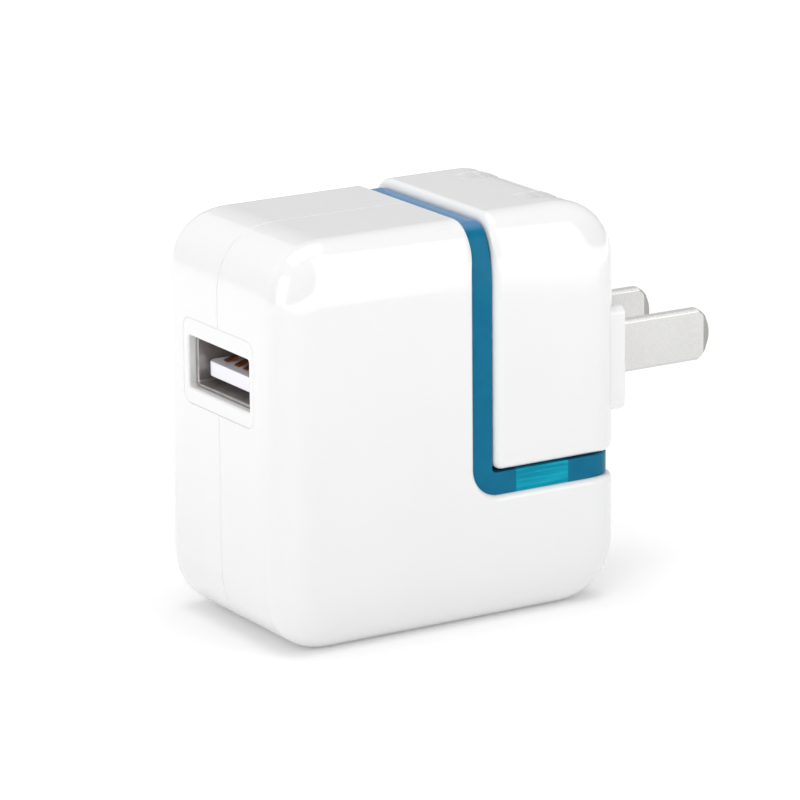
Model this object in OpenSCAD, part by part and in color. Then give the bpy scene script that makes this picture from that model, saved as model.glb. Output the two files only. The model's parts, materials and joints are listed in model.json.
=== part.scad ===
// USB wall charger with a lift-off plug head and fold-up blades.
// +X points out of the wall plug, +Z up, origin at the centre of the flat underside.
// The casing is two halves joined at y = 0, with a corner cut out of its upper back.
// The plug head fills that corner, and a clear L-shaped light guide lies between the two.

/* [Casing] */
// Length of the casing, from the port face to the back face
body_l = 46.8; // [42:0.2:58]
// Width of the casing
body_w = 28; // [26:0.2:36]
// Height of the casing
body_h = 48.4; // [46:0.2:60]
// Radius of the four corners seen from the side
corner_r = 7.2; // [5:0.1:9]
// Radius of the long edges
edge_r = 4.2; // [3:0.1:5.5]
// Wall thickness of every moulding
wall = 1.6; // [1.2:0.1:2.2]
// Depth of the corner cut-out, from the back face
cut_l = 20.7; // [20:0.1:24]
// Height of the ledge under the plug head
ledge_h = 15.4; // [15:0.1:19]

/* [Light guide] */
// Thickness of the light guide
guide_t = 2.7; // [2:0.1:4]
// How far the guide's edge lies below the casing's surface
guide_inset = 0.6; // [0.3:0.1:1.2]
// Outer radius of the guide's bend
guide_r = 3.6; // [2:0.1:5]

/* [Plug head] */
// Gap between the head and the guide's upright leg
head_gap = 0.2; // [0.15:0.05:0.6]
// Gap between the head and the guide's flat leg
seat_gap = 0.3; // [0.2:0.05:0.6]
// How far the head's top stands above the casing's top
head_proud = 0.4; // [0:0.05:0.8]
// How far the outlet pad stands out of the head's back face
pad_proud = 1.1; // [0.6:0.1:2]
// Width of the outlet pad
pad_w = 26; // [24:0.1:26]
// Height of the outlet pad
pad_h = 12.6; // [11:0.1:15]
// Height of the outlet pad's centre above the head's underside
pad_up = 10.8; // [9:0.1:13]

/* [Blades] */
// Distance between the two blades
blade_pitch = 12.7; // [12.5:0.1:12.9]
// Width of a blade
blade_w = 6.35; // [6.1:0.05:6.6]
// Thickness of a blade
blade_t = 1.5; // [1.4:0.05:1.6]
// How far the blades reach out of the outlet pad
blade_reach = 16.2; // [15:0.1:17.5]
// Height of the blades' centre line above the head's underside
blade_up = 10.3; // [9.9:0.1:13]
// Depth of the fold axis behind the outlet pad's face
pivot_depth = 4.8; // [4.8:0.1:5.4]
// How far the fold axis lies below the blades' centre line
pivot_drop = 1.7; // [1.4:0.1:2]

/* [USB port] */
// Width of the port's opening
port_w = 14.1; // [13.9:0.1:14.6]
// Height of the port's opening
port_h = 6.2; // [6.1:0.1:6.6]
// Height of the port's centre above the casing's underside
port_z = 31.4; // [30:0.1:33]
// Width of the port panel
panel_w = 16.3; // [15.6:0.1:18]
// Height of the port panel
panel_h = 10.3; // [9:0.1:11]

/* [Hidden] */
$fn = 64;
big = 120;
eps = 0.01;

// Clearances
fit_gap = 0.05;          // running fits and sockets that hold a pin
part_gap = 0.15;         // one loose piece beside another

// Casing
front_x = -body_l / 2;
back_x = body_l / 2;
cut_x = back_x - cut_l;
in_front = front_x + wall;
in_back = back_x - wall;
in_side = body_w / 2 - wall;

// Plug head
head_x = cut_x + guide_t + head_gap;
head_z = ledge_h + guide_t + seat_gap;
head_corner_r = 1.2;
pad_x = back_x + pad_proud;
pad_z = head_z + pad_up;
pad_r = 0.8;

// Blades and their rotor
blade_tip_r = blade_w / 2 + 0.525;
blade_y = blade_pitch / 2;
blade_z = head_z + blade_up;
tip_x = pad_x + blade_reach;
pivot_x = pad_x - pivot_depth;
pivot_z = blade_z - pivot_drop;
rotor_r = 3.4;
rotor_half = 8.6;
rotor_core_r = 1.6;      // stem that runs through both blades' roots
journal_r = 2;
journal_end = 11.2;
cheek_in = 9;            // bearing cheeks that hold the journals
cheek_out = 11;
slot_gap = 0.3;          // beside a blade in its slot
slot_w = blade_t + 2 * slot_gap;
slot_x = pivot_x - blade_w / 2 - pivot_drop - 0.25;
pocket_wall = 1;
scoop_r = 2.1;
scoop_start = 10.4;      // distance of the finger scoop's near end from the back face
scoop_fall = 32.5;       // its slope in degrees
leaf_t = 0.4;
leaf_end = in_back - 0.3;

// Lock stud on the casing and its keyway in the head
stud_z = ledge_h + 18.6;
stud_shank_r = 1.5;
stud_neck_r = 1.8;
stud_shoulder_r = 2.75;
stud_cap_r = 3.5;
stud_cap_t = 1.2;
nut_flats = 5.5;
nut_t = 2.4;
cap_x = head_x + wall + part_gap;

// Two-pin inlet in the ledge and the connector that drops into it
pin_y = 4.3;
pin_r = 1.15;
nose_r = 2.9;
inlet_x = cap_x + stud_cap_t + part_gap + 0.4 + nose_r;
nose_waist = 4.6;
nose_len = 9.4;
sleeve_t = 0.35;
recess_gap = 0.2;
socket_wall = 0.8;
socket_top = ledge_h + guide_t - 0.2;
socket_floor = head_z - nose_len - 0.4;
socket_base = socket_floor - wall;

// USB receptacle, with its contacts on top of the tongue
shell_t = 0.3;
shell_in_w = 12.5;
shell_in_h = 5.12;
mouth_in_w = 13.2;
mouth_in_h = 5.35;
mouth_l = 0.6;
shell_x = front_x + 1;
shell_l = 13.2;
tongue_w = 11.1;
tongue_t = 1.84;
tongue_x = front_x + 1.7;
tongue_z = port_z - 1.6;
contact_w = 1;
contact_ys = [-3.5, -1, 1, 3.5];
flange_t = 1;
flange_rim = 1;

// Boards
board_t = 1.2;
board_y = in_side - 2.5;
board_gap = 0.6;
port_board_x = in_front + flange_t + 0.6;
port_board_z = port_z + shell_in_h / 2 + shell_t + 0.15;
port_board_l = 13.4;
port_board_w = 2 * (board_y - 1.2);
lead_r = 0.3;
stake_r = 0.9;
stakes = [
    [in_front + 3.3, body_h - wall - 10.4],
    [cut_x - wall - 2.1, body_h - wall - 9.8],
    [in_front + 2.2, port_z - 11.2],
    [cut_x - wall - 1.7, port_z - 12.2],
    [inlet_x + 2.8, wall + 2.6]
];

// Parts on the main board: places are [x, z] on its face
transformer_p = [in_front + 10.4, wall + 10];
core_l = 18;
core_h = 16;
core_w = 8;
core_leg = 3;
core_mid = 5;
winding_half_w = 7.6;
transformer_y = board_y - 10.2;
bulk_r = 3.7;
bulk_ps = [for (i = [0, 1]) [in_front + 1.6 + bulk_r + i * (2 * bulk_r + 0.5), body_h - wall - 4.5]];
bulk_l = 16;
out_cap_r = 3.15;
out_cap_ps = [for (i = [0, 1]) [in_front + 1.2 + out_cap_r + i * (2 * out_cap_r + 0.5), port_z - 7.6]];
out_cap_l = 12;
cap_leads = 1.25;
disc_r = 3.6;
disc_t = 2.4;
disc_p = [cut_x - wall - 0.9 - disc_t / 2, body_h - wall - 4.5];
disc_leads = 2.5;
choke_p = [cut_x + 2, wall + 4.1];
choke_r = 3;
choke_l = 10;
choke_flange = 1.2;
choke_leads = 2;
fuse_p = [in_back - 3.4, wall + 6];
fuse_r = 1.5;
fuse_l = 8;
fuse_leads = fuse_l / 2 - 0.8;
bridge_p = [cut_x + 2, wall + 9.6];
diode_l = 3.8;
diode_p = [cut_x - wall - board_gap - 0.3 - diode_l / 2, port_z - 7];
opto_p = [cut_x - wall - 4.7, port_z - 0.3];
pin_pitch = 3;           // between the transformer's pins along x
pin_row = 7.2;           // from its centre to either row
led_x = cut_x + 2.5;
led_r = 1.5;
link_x = port_board_x + 4.2;
link_l = 7;
link_w = 2.7;
link_h = 2.2;
link_pitch = 5 / 3;
wire_r = 0.6;
core_wire_r = 0.4;

lead_holes = concat(
    [for (p = bulk_ps, s = [-1, 1]) [p[0], p[1] + s * cap_leads]],
    [for (p = out_cap_ps, s = [-1, 1]) [p[0], p[1] + s * cap_leads]],
    [for (s = [-1, 1]) [disc_p[0], disc_p[1] + s * disc_leads]],
    [for (s = [-1, 1]) [choke_p[0], choke_p[1] + s * choke_leads]],
    [for (s = [-1, 1]) [fuse_p[0], fuse_p[1] + s * fuse_leads]],
    [for (i = [-2:2], s = [-1, 1]) [transformer_p[0] + i * pin_pitch, transformer_p[1] + s * pin_row]],
    [for (i = [0:3]) [link_x + 1 + i * link_pitch, port_board_z + board_t + link_h / 2]]
);

// ---------- shared shapes ----------

// Rectangle with round corners, centred
module rrect(a, b, r) {
    square([a - 2 * r, b], center = true);
    square([a, b - 2 * r], center = true);
    for (i = [-1, 1], j = [-1, 1])
        translate([i * (a / 2 - r), j * (b / 2 - r)]) circle(r);
}

// Everything to the right of x and above z, with a round inner corner
module quadrant(x, z, r) {
    translate([x + r, z]) square([big, big]);
    translate([x, z + r]) square([big, big]);
    translate([x + r, z + r]) circle(r);
}

// Extrudes an outline drawn in x and z to a width w about y = 0
module across(w) {
    rotate([90, 0, 0]) linear_extrude(height = w, center = true) children();
}

// The same, from y0 to y1
module span_y(y0, y1) {
    translate([0, (y0 + y1) / 2, 0]) across(y1 - y0) children();
}

// Extrudes an outline drawn in y and z from x0 to x1
module span_x(x0, x1) {
    translate([x0, 0, 0]) rotate([90, 0, 90]) linear_extrude(height = x1 - x0) children();
}

// Round bar along X or Y
module bar_x(x0, x1, r) {
    translate([x0, 0, 0]) rotate([0, 90, 0]) cylinder(h = x1 - x0, r = r);
}

module bar_y(y0, y1, r) {
    translate([0, y1, 0]) rotate([90, 0, 0]) cylinder(h = y1 - y0, r = r);
}

module box(x0, x1, y0, y1, z0, z1) {
    translate([x0, y0, z0]) cube([x1 - x0, y1 - y0, z1 - z0]);
}

// The casing's outer form, set in by a distance, with its top raised by another
module envelope(inset = 0, raise = 0) {
    l = body_l - 2 * inset;
    w = body_w - 2 * inset;
    h = body_h + raise - 2 * inset;
    mid = (body_h + raise) / 2;
    intersection() {
        translate([0, 0, mid]) across(w) rrect(l, h, corner_r - inset);
        translate([0, 0, inset]) linear_extrude(height = h) rrect(l, w, edge_r - inset);
        translate([0, 0, mid]) span_x(-l / 2, l / 2) rrect(w, h, edge_r - inset);
    }
}

// Space cut out of the casing for the guide and head, grown into the casing by a distance
module cut_out(grow = 0) {
    across(body_w + 2) quadrant(cut_x - grow, ledge_h - grow, guide_r + grow);
}

// Two round lobes about the inlet's pins with a narrower waist between them
module figure_eight(r, waist) {
    for (s = [-1, 1]) translate([0, s * pin_y]) circle(r);
    square([waist, 2 * pin_y], center = true);
}

// Long slot shape round both pins
module stadium(r) {
    for (s = [-1, 1]) translate([0, s * pin_y]) circle(r);
    square([2 * r, 2 * pin_y], center = true);
}

// Lead of a board part: from its body through the board
module lead(p, y0) {
    translate([p[0], 0, p[1]]) bar_y(y0, board_y + board_t + 0.7, lead_r);
}

// ---------- casing ----------

module casing() {
    difference() {
        envelope();
        cut_out();
        difference() {
            envelope(wall);
            cut_out(wall);
        }
        // port panel
        span_x(front_x - 1, in_front + 1)
            translate([0, port_z + 0.15]) rrect(panel_w + 2 * fit_gap, panel_h + 2 * fit_gap, 1.5);
        // inlet socket through the ledge
        translate([inlet_x, 0, ledge_h - wall - 1]) linear_extrude(height = wall + 2)
            stadium(nose_r + recess_gap + socket_wall + fit_gap);
        // lock stud
        translate([0, 0, stud_z]) bar_x(cut_x - wall - 1, cut_x + 1, stud_shank_r + fit_gap);
        // light guide's peg
        translate([led_x, 0, ledge_h - wall - 1]) cylinder(h = wall + 2, r = led_r + fit_gap);
    }
}

module half_space(side) {
    translate([-big / 2, side > 0 ? 0 : -big, -big / 2]) cube([big, big, big]);
}

module near_shell() color("white") {
    intersection() {
        casing();
        half_space(-1);
    }
}

module far_shell() color("white") {
    intersection() {
        casing();
        half_space(1);
    }
    // posts that carry the main board, with a peg staked through it
    for (p = stakes) translate([p[0], 0, p[1]]) {
        bar_y(board_y + board_t, in_side + eps, 2);
        bar_y(board_y - 0.6, board_y + board_t + eps, stake_r);
    }
}

module port_panel() color("white") difference() {
    union() {
        span_x(front_x, in_front) translate([0, port_z + 0.15]) rrect(panel_w, panel_h, 1.5 - fit_gap);
        span_x(in_front, in_front + flange_t) translate([0, port_z + 0.15])
            rrect(panel_w + 2 * flange_rim, panel_h + 2 * flange_rim, 1.5);
    }
    span_x(front_x - 1, in_front + flange_t + 1) translate([0, port_z]) rrect(port_w, port_h, 0.7);
}

module light_guide() color([0.05, 0.45, 0.6, 0.6]) {
    difference() {
        intersection() {
            envelope(guide_inset);
            cut_out();
        }
        across(body_w + 2) quadrant(cut_x + guide_t, ledge_h + guide_t, 0.6);
        translate([inlet_x, 0, ledge_h - 1]) linear_extrude(height = guide_t + 2)
            stadium(nose_r + recess_gap + socket_wall + part_gap);
        translate([0, 0, stud_z]) bar_x(cut_x - 1, cut_x + guide_t + 1, stud_shoulder_r + part_gap);
    }
    translate([led_x, 0, ledge_h - wall]) cylinder(h = wall + eps, r = led_r);
}

// ---------- USB receptacle ----------

module usb_shell() color("silver") {
    difference() {
        union() {
            span_x(shell_x, shell_x + mouth_l) translate([0, port_z])
                rrect(mouth_in_w + 2 * shell_t, mouth_in_h + 2 * shell_t, 0.6);
            span_x(shell_x + mouth_l, shell_x + shell_l) translate([0, port_z])
                rrect(shell_in_w + 2 * shell_t, shell_in_h + 2 * shell_t, 0.5);
        }
        span_x(shell_x - 1, shell_x + mouth_l - shell_t) translate([0, port_z])
            rrect(mouth_in_w, mouth_in_h, 0.4);
        span_x(shell_x - 1, shell_x + shell_l + 1) translate([0, port_z])
            rrect(shell_in_w, shell_in_h, 0.3);
    }
    // tabs through the port board
    for (s = [-1, 1]) translate([shell_x + 6.4, s * (shell_in_w / 2 + shell_t / 2), 0])
        box(0, 1.6, -shell_t / 2, shell_t / 2, port_z, port_board_z + board_t + 0.8);
}

module usb_tongue() color("white") difference() {
    union() {
        box(tongue_x, shell_x + shell_l - 2, -tongue_w / 2, tongue_w / 2, tongue_z, tongue_z + tongue_t);
        box(shell_x + shell_l - 3.4, shell_x + shell_l, -shell_in_w / 2 + part_gap,
            shell_in_w / 2 - part_gap, port_z - shell_in_h / 2 + part_gap,
            port_z + shell_in_h / 2 - part_gap);
    }
    for (y = contact_ys) translate([0, y, 0])
        box(shell_x + shell_l - 5, shell_x + shell_l + 1, -contact_w / 2 - fit_gap,
            contact_w / 2 + fit_gap, tongue_z + tongue_t - eps, tongue_z + tongue_t + 0.6);
}

module usb_contacts() color([0.75, 0.45, 0.2]) {
    z = tongue_z + tongue_t + 0.02;
    x1 = shell_x + shell_l + 0.1;
    for (y = contact_ys) span_y(y - contact_w / 2, y + contact_w / 2) polygon([
        [tongue_x + 1.5, z], [tongue_x + 3, z + 0.45], [tongue_x + 4.6, z + 0.5], [tongue_x + 6.8, z],
        [x1 + 0.3, z], [x1 + 0.3, port_board_z + board_t + 0.7], [x1, port_board_z + board_t + 0.7],
        [x1, z + 0.3], [tongue_x + 6.9, z + 0.3], [tongue_x + 4.7, z + 0.8], [tongue_x + 2.9, z + 0.75],
        [tongue_x + 1.4, z + 0.25]
    ]);
}

// ---------- boards and their parts ----------

module port_board() color("darkgreen") difference() {
    box(port_board_x, port_board_x + port_board_l, -port_board_w / 2, port_board_w / 2,
        port_board_z, port_board_z + board_t);
    for (s = [-1, 1]) translate([shell_x + 6.4, s * (shell_in_w / 2 + shell_t / 2), 0])
        box(-fit_gap, 1.6 + fit_gap, -shell_t / 2 - fit_gap, shell_t / 2 + fit_gap,
            port_board_z - 1, port_board_z + board_t + 1);
    for (y = contact_ys) translate([shell_x + shell_l + 0.1, y, 0])
        box(-fit_gap, 0.3 + fit_gap, -contact_w / 2 - fit_gap, contact_w / 2 + fit_gap,
            port_board_z - 1, port_board_z + board_t + 1);
}

// Pin strip that joins the port board to the main board
module board_link() color("dimgray") {
    box(link_x, link_x + link_l, board_y - link_w, board_y,
        port_board_z + board_t, port_board_z + board_t + link_h);
    for (i = [0:3])
        lead([link_x + 1 + i * link_pitch, port_board_z + board_t + link_h / 2], board_y - eps);
}

module main_board() color("darkgreen") difference() {
    span_y(board_y, board_y + board_t) difference() {
        translate([0, body_h / 2])
            rrect(body_l - 2 * (wall + board_gap), body_h - 2 * (wall + board_gap),
                  corner_r - wall - board_gap + 0.4);
        quadrant(cut_x - wall - board_gap, ledge_h - wall - board_gap, guide_r + wall);
    }
    for (p = stakes) translate([p[0], 0, p[1]])
        bar_y(board_y - 1, board_y + board_t + 1, stake_r + fit_gap);
    for (p = lead_holes) translate([p[0], 0, p[1]])
        bar_y(board_y - 1, board_y + board_t + 1, lead_r + fit_gap);
    for (s = [-1, 1]) translate([inlet_x, 0, lead_z(s)])
        bar_y(board_y - 1, board_y + board_t + 1, core_wire_r + fit_gap);
}

module at_transformer() {
    translate([transformer_p[0], transformer_y, transformer_p[1]]) children();
}

module transformer_core() color("dimgray") at_transformer() across(core_w) difference() {
    square([core_l, core_h], center = true);
    for (s = [-1, 1]) translate([s * (core_mid + core_l - 2 * core_leg) / 4, 0])
        square([(core_l - 2 * core_leg - core_mid) / 2, core_h - 2 * core_leg], center = true);
}

// Rectangular ring round the core's middle leg, from z0 to z1
module leg_ring(half_l, half_w, z0, z1) {
    translate([0, 0, z0]) linear_extrude(height = z1 - z0) difference() {
        square([2 * half_l, 2 * half_w], center = true);
        square([core_mid + 2 * fit_gap, core_w + 2 * fit_gap], center = true);
    }
}

module transformer_winding() color("gold") at_transformer()
    leg_ring(core_l / 2 - core_leg - 0.2, winding_half_w, -core_h / 2 + core_leg + 0.8,
             core_h / 2 - core_leg - 0.8);

module transformer_bobbin() color("dimgray") {
    at_transformer() for (s = [-1, 1]) {
        z = s * (core_h / 2 - core_leg - 0.42);
        leg_ring(core_l / 2 - core_leg - 0.1, winding_half_w + 0.2, z - 0.35, z + 0.35);
        // terminal rail beside the core
        box(-7.5, 7.5, winding_half_w + 0.2 - eps, winding_half_w + 1.8,
            s > 0 ? 4.2 : -8.4, s > 0 ? 8.4 : -4.2);
    }
    for (i = [-2:2], s = [-1, 1])
        lead([transformer_p[0] + i * pin_pitch, transformer_p[1] + s * pin_row],
             transformer_y + winding_half_w + 1.8 - eps);
}

// Electrolytic capacitors standing on the main board
module can(p, r, l) {
    translate([p[0], 0, p[1]]) bar_y(board_y - l, board_y, r);
    for (s = [-1, 1]) lead([p[0], p[1] + s * cap_leads], board_y - eps);
}

module bulk_capacitors() color("black") for (p = bulk_ps) can(p, bulk_r, bulk_l);

module output_capacitors() color("darkslateblue") for (p = out_cap_ps) can(p, out_cap_r, out_cap_l);

module disc_capacitor() color("dodgerblue") {
    translate([disc_p[0] - disc_t / 2, board_y - disc_r - 1.4, disc_p[1]]) bar_x(0, disc_t, disc_r);
    for (s = [-1, 1]) lead([disc_p[0], disc_p[1] + s * disc_leads], board_y - disc_r);
}

module line_choke() color("darkgoldenrod") {
    translate([choke_p[0], board_y - choke_l, choke_p[1]]) {
        bar_y(0, choke_flange, choke_r);
        bar_y(choke_flange - eps, choke_l - choke_flange + eps, choke_r - 0.6);
        bar_y(choke_l - choke_flange, choke_l, choke_r);
    }
    for (s = [-1, 1]) lead([choke_p[0], choke_p[1] + s * choke_leads], board_y - eps);
}

module fuse() color("tan") {
    translate([fuse_p[0], board_y - 2, fuse_p[1] - fuse_l / 2]) cylinder(h = fuse_l, r = fuse_r);
    for (s = [-1, 1]) lead([fuse_p[0], fuse_p[1] + s * fuse_leads], board_y - 1);
}

// Flat moulded parts on the board's face, l along x and h along z
module chip(p, l, h, t) {
    box(p[0] - l / 2, p[0] + l / 2, board_y - t, board_y, p[1] - h / 2, p[1] + h / 2);
}

module bridge_rectifier() color("dimgray") chip(bridge_p, 4.6, 3.2, 2.4);

module controller_chip() color("dimgray") chip(transformer_p, 5, 4, 0.7);

module output_diode() color("dimgray") chip(diode_p, diode_l, 3.4, 2.2);

module optocoupler() color("dimgray") chip(opto_p, 4.6, 6.4, 3);

// Lamp under the ledge that lights the guide through its peg
module indicator_led() color("skyblue") {
    top = ledge_h - wall - 0.3;
    translate([led_x, 0, top - led_r - 1.8]) cylinder(h = 1.8, r = led_r);
    translate([led_x, 0, top - led_r]) intersection() {
        sphere(led_r);
        cylinder(h = led_r, r = led_r);
    }
    translate([led_x, 0, top - led_r - 2.4]) cylinder(h = 0.6 + eps, r = led_r + 0.3);
}

// ---------- inlet and lock stud ----------

module inlet_socket() color("white") difference() {
    union() {
        translate([inlet_x, 0, socket_base]) linear_extrude(height = socket_top - socket_base)
            stadium(nose_r + recess_gap + socket_wall);
        translate([inlet_x, 0, ledge_h - wall - 1.2]) linear_extrude(height = 1.2)
            stadium(nose_r + recess_gap + socket_wall + 0.7);
    }
    translate([inlet_x, 0, socket_floor]) linear_extrude(height = big)
        figure_eight(nose_r + recess_gap, nose_waist + 2 * recess_gap);
    for (s = [-1, 1]) translate([inlet_x, s * pin_y, 0])
        cylinder(h = socket_top, r = pin_r + eps);
}

// Height of the lead that leaves the pin on either side
function lead_z(s) = socket_base - (s > 0 ? 1.4 : 3.2);

module inlet_pins() color("silver") for (s = [-1, 1]) translate([inlet_x, s * pin_y, 0]) {
    translate([0, 0, lead_z(s) - 0.6]) cylinder(h = socket_floor + 7 - lead_z(s) + 0.6 - pin_r, r = pin_r);
    translate([0, 0, socket_floor + 7 - pin_r]) sphere(pin_r);
}

module inlet_leads() color("firebrick") for (s = [-1, 1]) translate([inlet_x, 0, lead_z(s)]) {
    bar_y(s * pin_y + pin_r, board_y - 0.4, wire_r);
    bar_y(board_y - 0.4 - eps, board_y + board_t + 0.7, core_wire_r);
}

module lock_stud() color("silver") translate([0, 0, stud_z]) {
    bar_x(cut_x - wall - nut_t - 0.5, cut_x + eps, stud_shank_r);
    bar_x(cut_x, cut_x + guide_t, stud_shoulder_r);
    bar_x(cut_x + guide_t - eps, cap_x + eps, stud_neck_r);
    bar_x(cap_x, cap_x + stud_cap_t, stud_cap_r);
}

module stud_nut() color("silver") translate([cut_x - wall - nut_t, 0, stud_z]) rotate([0, 90, 0])
    difference() {
        cylinder(h = nut_t, r = nut_flats / sqrt(3), $fn = 6);
        translate([0, 0, -1]) cylinder(h = nut_t + 2, r = stud_shank_r + eps);
    }

// ---------- plug head ----------

// The block of space that the head fills, with its outer faces set in by a distance
module head_space(inset = 0) {
    intersection() {
        envelope(inset, head_proud);
        across(body_w + 2) quadrant(head_x, head_z, head_corner_r);
    }
}

module scoops() {
    for (s = [-1, 1])
        translate([back_x - scoop_start, s * blade_y, body_h + head_proud])
            rotate([0, scoop_fall, 0]) translate([-8, 0, scoop_r]) bar_x(0, 30, scoop_r);
}

module head_shell() color("white") difference() {
    union() {
        difference() {
            union() {
                head_space();
                // outlet pad
                span_x(in_back, pad_x) translate([0, pad_z]) rrect(pad_w, pad_h, pad_r);
            }
            envelope(wall, head_proud);
        }
        intersection() {
            envelope(wall / 2, head_proud);
            for (s = [-1, 1]) union() {
                // pocket that a folded blade lies in
                translate([0, s * blade_y, 0])
                    box(slot_x - pocket_wall, back_x, -slot_w / 2 - pocket_wall, slot_w / 2 + pocket_wall,
                        pivot_z + rotor_r, body_h);
                // backing behind the finger scoop
                translate([0, s * blade_y, 0])
                    box(back_x - scoop_start - 0.4, back_x, -scoop_r - pocket_wall, scoop_r + pocket_wall,
                        body_h - 7, body_h);
                // bearing cheek
                translate([0, s * (cheek_in + cheek_out) / 2, 0])
                    box(pivot_x - 1, back_x, -1, 1, pivot_z - journal_r - 1.4, pivot_z + journal_r + 1.4);
            }
        }
    }
    // blade slots
    for (s = [-1, 1]) translate([0, s * blade_y, 0])
        box(slot_x, pad_x + 1, -slot_w / 2, slot_w / 2, blade_z - blade_w / 2 - 0.2, big);
    // rotor
    translate([pivot_x, 0, pivot_z]) {
        bar_y(-rotor_half - part_gap, rotor_half + part_gap, rotor_r + part_gap);
        bar_y(-journal_end - part_gap, journal_end + part_gap, journal_r + fit_gap);
        box(-8, 0, -journal_end - part_gap, journal_end + part_gap, -journal_r - fit_gap, journal_r + fit_gap);
    }
    scoops();
}

module head_cover() color("white") {
    difference() {
        head_space(wall + fit_gap);
        across(body_w) quadrant(head_x + wall, head_z + wall, 0.3);
        // connector
        translate([inlet_x, 0, head_z - 1]) linear_extrude(height = wall + 2)
            figure_eight(nose_r + fit_gap, nose_waist + 2 * fit_gap);
        // keyway for the lock stud, open at the bottom
        translate([0, 0, stud_z]) bar_x(head_x - 1, head_x + wall + 1, stud_neck_r + part_gap);
        box(head_x - 1, head_x + wall + 1, -stud_neck_r - part_gap, stud_neck_r + part_gap, 0, stud_z);
        box(head_x + wall - eps, cap_x + stud_cap_t + part_gap, -stud_cap_r - part_gap,
            stud_cap_r + part_gap, 0, head_z + wall + 1);
    }
    // posts that keep the journals in their cheeks
    for (s = [-1, 1]) translate([0, s * (cheek_in + cheek_out) / 2, 0])
        box(head_x + wall - eps, pivot_x - journal_r - fit_gap, -0.9, 0.9, pivot_z - 1.5, pivot_z + 1.5);
}

module head_connector() color("white") difference() {
    union() {
        translate([inlet_x, 0, head_z - nose_len]) linear_extrude(height = nose_len + wall)
            figure_eight(nose_r, nose_waist);
        box(inlet_x - nose_r - 0.1, inlet_x + nose_r + 0.3, -pin_y - nose_r - 0.6, pin_y + nose_r + 0.6,
            head_z + wall, head_z + wall + 1.2);
    }
    for (s = [-1, 1]) translate([inlet_x, s * pin_y, head_z - nose_len - 1])
        cylinder(h = nose_len + wall + 4, r = pin_r + fit_gap + sleeve_t + eps);
}

sleeve_top = head_z + wall + 1.6;

module connector_sleeves() color("goldenrod") for (s = [-1, 1]) translate([inlet_x, s * pin_y, 0])
    difference() {
        translate([0, 0, head_z - nose_len + 0.2])
            cylinder(h = sleeve_top - head_z + nose_len - 0.2, r = pin_r + fit_gap + sleeve_t);
        translate([0, 0, head_z - nose_len - 1])
            cylinder(h = nose_len + 1 + wall, r = pin_r + fit_gap);
    }

// Side outline of a bent leaf that ends under the rotor
module rotor_leaf(x0, z0) {
    top = pivot_z - rotor_r - 0.06;
    polygon([
        [x0, z0], [pivot_x - 3.8, z0], [pivot_x - 2.4, top - leaf_t], [leaf_end, top - leaf_t],
        [leaf_end, top], [pivot_x - 2.6, top], [pivot_x - 4, z0 + leaf_t], [x0, z0 + leaf_t]
    ]);
}

module blade_contacts() color("goldenrod") for (s = [-1, 1])
    span_y(s * (pin_y + blade_y) / 2 - 1.2, s * (pin_y + blade_y) / 2 + 1.2)
        rotor_leaf(inlet_x - 1.5, sleeve_top);

module fold_spring() color("silver") span_y(-2.4, 2.4) {
    foot = head_z + wall;
    top = pivot_z - rotor_r - 0.06;
    x0 = inlet_x + nose_r + 0.6;
    translate([x0, foot]) square([pivot_x + 1 - x0, leaf_t]);
    translate([x0, foot]) square([leaf_t, top - foot]);
    translate([x0, top - leaf_t]) square([leaf_end - x0, leaf_t]);
}

// Spring clip that grips the stud's cap from both sides
module stud_clip() color("silver") {
    x0 = head_x + wall + part_gap / 2;
    half = stud_cap_r + part_gap;
    span_x(x0, x0 + stud_cap_t) difference() {
        translate([0, stud_z + 0.5]) square([2 * (half + leaf_t), 9], center = true);
        translate([0, stud_z - leaf_t + 0.5]) square([2 * half, 9], center = true);
    }
}

// ---------- blades ----------

// Side outline of a blade, with its round root about the fold axis
module blade_outline() {
    w = blade_w / 2;
    straight = tip_x - blade_tip_r + sqrt(blade_tip_r * blade_tip_r - w * w) - pivot_x;
    translate([pivot_x, pivot_z]) circle(rotor_r);
    translate([pivot_x, blade_z - w]) square([straight, blade_w]);
    intersection() {
        translate([pivot_x, blade_z - w]) square([tip_x - pivot_x, blade_w]);
        translate([tip_x - blade_tip_r, blade_z]) circle(blade_tip_r);
    }
}

module blade(side) {
    y0 = side * blade_y - blade_t / 2;
    difference() {
        span_y(y0, y0 + blade_t) blade_outline();
        translate([pivot_x, 0, pivot_z]) bar_y(y0 - 1, y0 + blade_t + 1, rotor_core_r + eps);
    }
}

module blade_near() color("gainsboro") blade(-1);

module blade_far() color("gainsboro") blade(1);

// Plastic bar moulded round both roots, with a journal at each end
module blade_rotor() color("whitesmoke") translate([pivot_x, 0, pivot_z]) {
    difference() {
        bar_y(-rotor_half, rotor_half, rotor_r);
        for (s = [-1, 1]) translate([0, s * blade_y, 0])
            box(-2 * rotor_r, 2 * rotor_r, -blade_t / 2, blade_t / 2, -2 * rotor_r, 2 * rotor_r);
    }
    bar_y(-rotor_half, rotor_half, rotor_core_r);
    for (s = [-1, 1]) translate([0, s * (rotor_half + journal_end) / 2, 0])
        bar_y(-(journal_end - rotor_half) / 2 - eps, (journal_end - rotor_half) / 2 + eps, journal_r);
}

near_shell();
far_shell();
port_panel();
light_guide();
usb_shell();
usb_tongue();
usb_contacts();
port_board();
board_link();
main_board();
transformer_core();
transformer_winding();
transformer_bobbin();
bulk_capacitors();
output_capacitors();
disc_capacitor();
line_choke();
fuse();
bridge_rectifier();
controller_chip();
output_diode();
optocoupler();
indicator_led();
inlet_socket();
inlet_pins();
inlet_leads();
lock_stud();
stud_nut();
head_shell();
head_cover();
head_connector();
connector_sleeves();
blade_contacts();
stud_clip();
fold_spring();
blade_rotor();
blade_near();
blade_far();
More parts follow.
